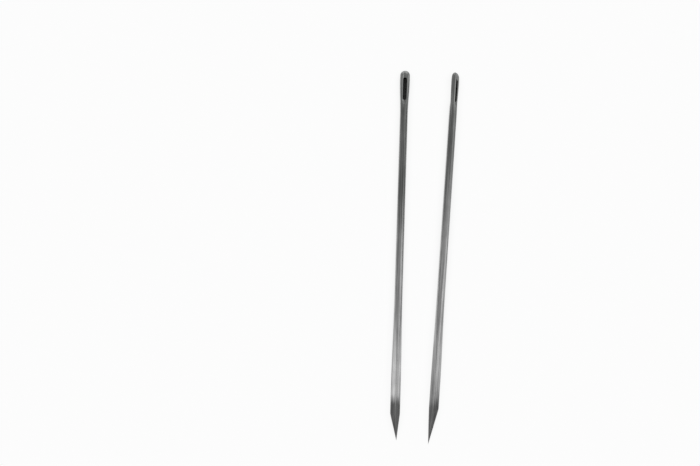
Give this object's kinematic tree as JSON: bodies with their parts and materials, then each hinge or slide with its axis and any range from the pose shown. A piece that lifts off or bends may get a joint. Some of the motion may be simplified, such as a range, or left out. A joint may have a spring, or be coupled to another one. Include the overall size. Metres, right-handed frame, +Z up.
{
  "type": "packing needle",
  "caption": "Straight packing needles laid side by side: round steel shank, long eye in a flattened head with a thread gutter, three-sided forged blade ground to a point.",
  "frame": {"origin": "on the surface the needles lie on, under the middle of the pair's outline", "axes": "+Z up, +Y along the left needle from its point to its eye, +X from the left needle to the right one"},
  "size_m": [0.0244, 0.1534, 0.0037],
  "materials": {
    "needle_steel": "drawn and forged carbon steel, satin, darker over the hardened and ground point"
  },
  "bodies": {
    "left_needle": {"left_head": "needle_steel", "left_shank": "needle_steel"},
    "right_needle": {"right_head": "needle_steel", "right_shank": "needle_steel"}
  },
  "joints": [
    {"name": "right_needle_lift", "type": "slide", "parent": "left_needle", "child": "right_needle", "axis": [0, 0, 1], "range_m": [0, 0.1]}
  ]
}
